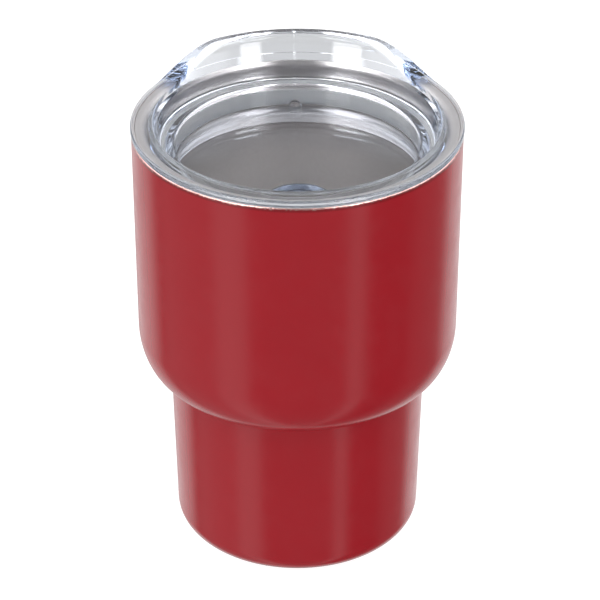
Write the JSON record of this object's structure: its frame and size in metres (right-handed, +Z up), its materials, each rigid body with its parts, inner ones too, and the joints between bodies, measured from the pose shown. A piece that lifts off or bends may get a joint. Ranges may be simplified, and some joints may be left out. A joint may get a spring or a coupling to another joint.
{
  "type": "insulated tumbler cup",
  "caption": "Small double-wall steel tumbler cup with a wide upper section over a narrow foot and a clear press-in lid with a raised sip lip.",
  "frame": {"origin": "The centre of the flat face the cup stands on.", "axes": "+Z up through the cup's axis to the mouth, +Y towards the lid's raised sip lip, +X to the right when the lip is at the back."},
  "size_m": [0.0542, 0.0542, 0.0796],
  "materials": {
    "red_coat": "gloss powder coat",
    "satin_steel": "satin",
    "dull_steel": "as rolled",
    "seal_glass": "melted",
    "pressed_powder": "pressed tablet",
    "clear_plastic": "clear moulded",
    "clear_silicone": "translucent"
  },
  "bodies": {
    "cup": {"outer_shell": "red_coat", "inner_liner": "satin_steel", "liner_bottom": "satin_steel", "vacuum_base": "dull_steel", "seal_bead": "seal_glass", "getter": "pressed_powder", "getter_clip": "dull_steel", "base_cover": "dull_steel"},
    "gasket": {"lid_gasket": "clear_silicone"},
    "lid": {"lid": "clear_plastic"}
  },
  "joints": [
    {"name": "lid_lift", "type": "slide", "parent": "cup", "child": "gasket", "axis": [0, 0, 1], "range_m": [0, 0.03]},
    {"name": "lid_turn", "type": "hinge", "parent": "gasket", "child": "lid", "pos_m": [0, 0, 0.0685], "axis": [0, 0, 1], "continuous": true}
  ]
}
